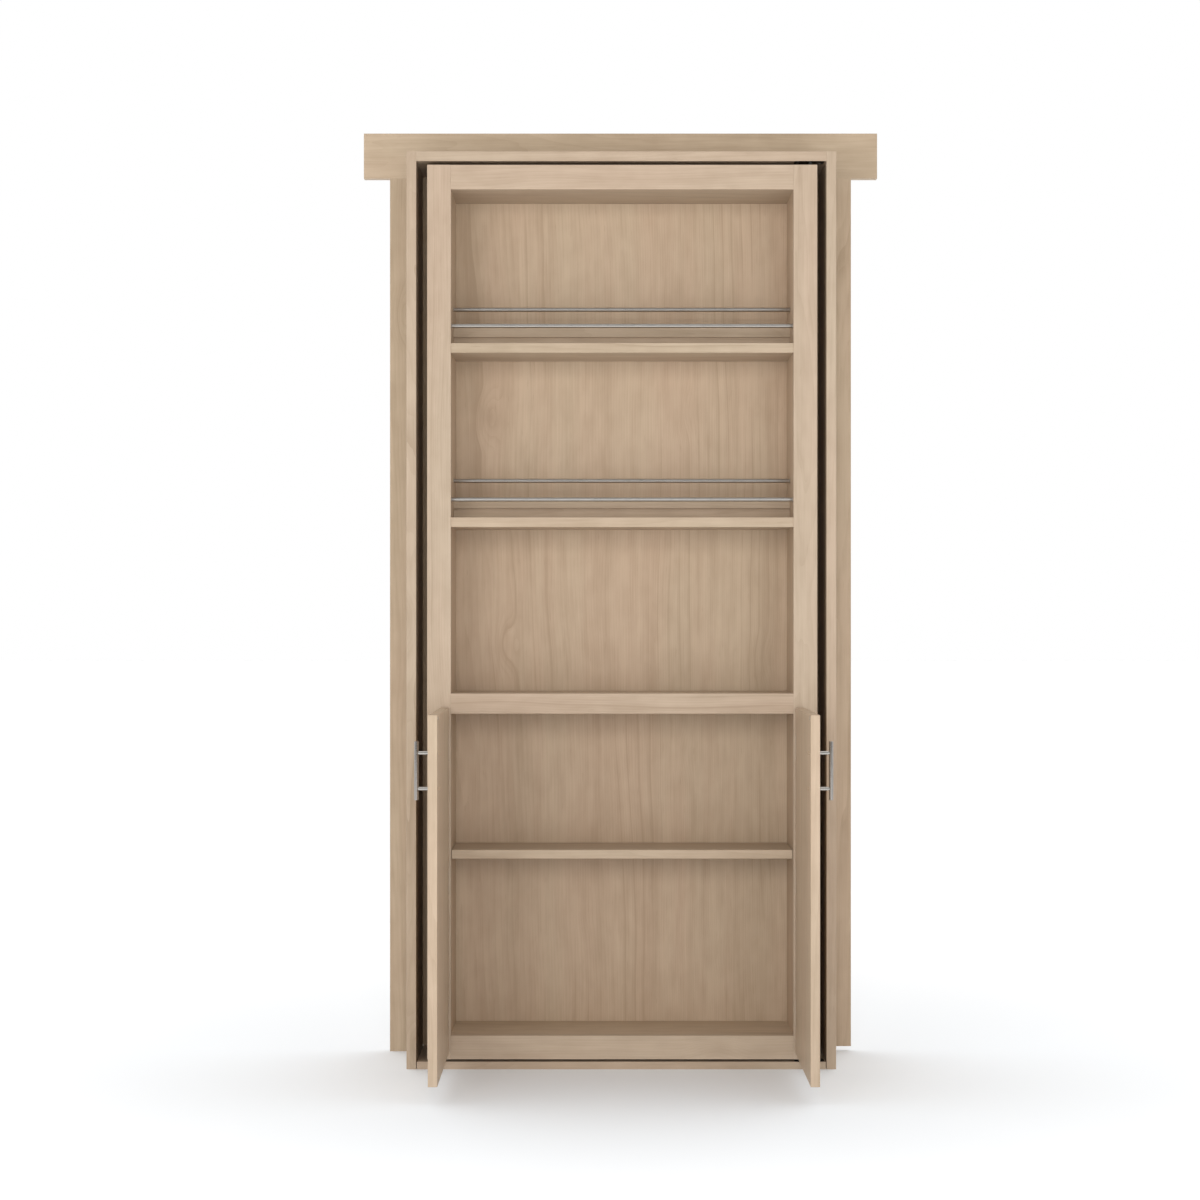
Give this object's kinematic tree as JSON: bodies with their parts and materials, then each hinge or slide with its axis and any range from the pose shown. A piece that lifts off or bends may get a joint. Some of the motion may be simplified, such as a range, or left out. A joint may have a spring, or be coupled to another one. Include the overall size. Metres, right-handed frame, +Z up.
{
  "type": "pantry cabinet",
  "caption": "Shallow wooden pantry cabinet that swings as a door in its own jamb, with open shelves, stepped tiers, guard rods and a cupboard below.",
  "frame": {"origin": "on the floor, in the middle of the jamb footprint, under the sill", "axes": "+Z up, +X to the right seen from the shelf side, -Y out of the shelves towards the user"},
  "size_m": [1.216, 0.6555, 2.174],
  "materials": {
    "frame_wood_upright": "satin, upright grain",
    "frame_wood_cross": "satin, grain across",
    "jamb_wood_upright": "satin, upright grain",
    "jamb_wood_cross": "satin, grain across",
    "casing_wood_upright": "satin, upright grain",
    "casing_wood_cross": "satin, grain across",
    "carcass_wood_upright": "satin, upright grain",
    "back_wood": "satin veneer, upright grain",
    "shelf_wood": "satin, grain across",
    "door_wood": "satin veneer, upright grain",
    "rod_steel": "brushed",
    "pull_steel": "satin",
    "hinge_steel": "satin",
    "pivot_steel": "blackened",
    "bush_brass": "turned",
    "screw_steel": "zinc plated",
    "door_screw_bronze": "bronzed",
    "pin_steel": "nickel plated",
    "magnet_steel": "bright nickel",
    "bumper_rubber": "soft, clear"
  },
  "bodies": {
    "frame": {"jamb_left": "jamb_wood_upright", "jamb_right": "jamb_wood_upright", "jamb_head": "jamb_wood_cross", "sill": "jamb_wood_cross", "stop_left": "jamb_wood_upright", "stop_right": "jamb_wood_upright", "stop_head": "jamb_wood_cross", "casing_left": "casing_wood_upright", "casing_right": "casing_wood_upright", "head_casing": "casing_wood_cross", "pivot_plates": "pivot_steel", "floor_pivot_pin": "pivot_steel", "thrust_washer": "bush_brass", "catch_magnets": "magnet_steel", "frame_screws": "screw_steel"},
    "cabinet": {"back_panel": "back_wood", "back_rods": "rod_steel", "base_panel": "shelf_wood", "bottle_shelf": "shelf_wood", "bottom_deck": "shelf_wood", "bottom_rail": "frame_wood_cross", "cabinet_screws": "screw_steel", "cap_panel": "shelf_wood", "catch_plates": "pivot_steel", "foot_pivot_bush": "bush_brass", "foot_pivot_plate": "pivot_steel", "front_rods": "rod_steel", "head_pivot_pin": "pivot_steel", "hinge_frame_leaves": "hinge_steel", "lower_shelf": "shelf_wood", "middle_rail": "frame_wood_cross", "middle_shelf": "shelf_wood", "rod_sockets": "rod_steel", "shelf_pins": "pin_steel", "side_liner_left": "carcass_wood_upright", "side_liner_right": "carcass_wood_upright", "side_panel_left": "carcass_wood_upright", "side_panel_right": "carcass_wood_upright", "side_spacers": "carcass_wood_upright", "spice_shelf": "shelf_wood", "step_boards": "shelf_wood", "step_risers": "shelf_wood", "stile_left": "frame_wood_upright", "stile_right": "frame_wood_upright", "top_panel": "shelf_wood", "top_rail": "frame_wood_cross"},
    "left_door": {"left_door_bumpers": "bumper_rubber", "left_door_panel": "door_wood", "left_door_screws": "door_screw_bronze", "left_handle_bar": "pull_steel", "left_handle_posts": "pull_steel", "left_hinge_leaves": "hinge_steel", "left_hinge_pins": "hinge_steel"},
    "right_door": {"right_door_bumpers": "bumper_rubber", "right_door_panel": "door_wood", "right_door_screws": "door_screw_bronze", "right_handle_bar": "pull_steel", "right_handle_posts": "pull_steel", "right_hinge_leaves": "hinge_steel", "right_hinge_pins": "hinge_steel"}
  },
  "joints": [
    {"name": "cabinet_swing", "type": "hinge", "parent": "frame", "child": "cabinet", "pos_m": [0.431, -0.104, 0.0225], "axis": [0, 0, 1], "range_deg": [0, 90]},
    {"name": "left_door_swing", "type": "hinge", "parent": "cabinet", "child": "left_door", "pos_m": [-0.39725, -0.12175, 0.4305], "axis": [0, 0, 1], "range_deg": [0, 90]},
    {"name": "right_door_swing", "type": "hinge", "parent": "cabinet", "child": "right_door", "pos_m": [0.40125, -0.12175, 0.4305], "axis": [0, 0, 1], "range_deg": [-90, 0]}
  ]
}
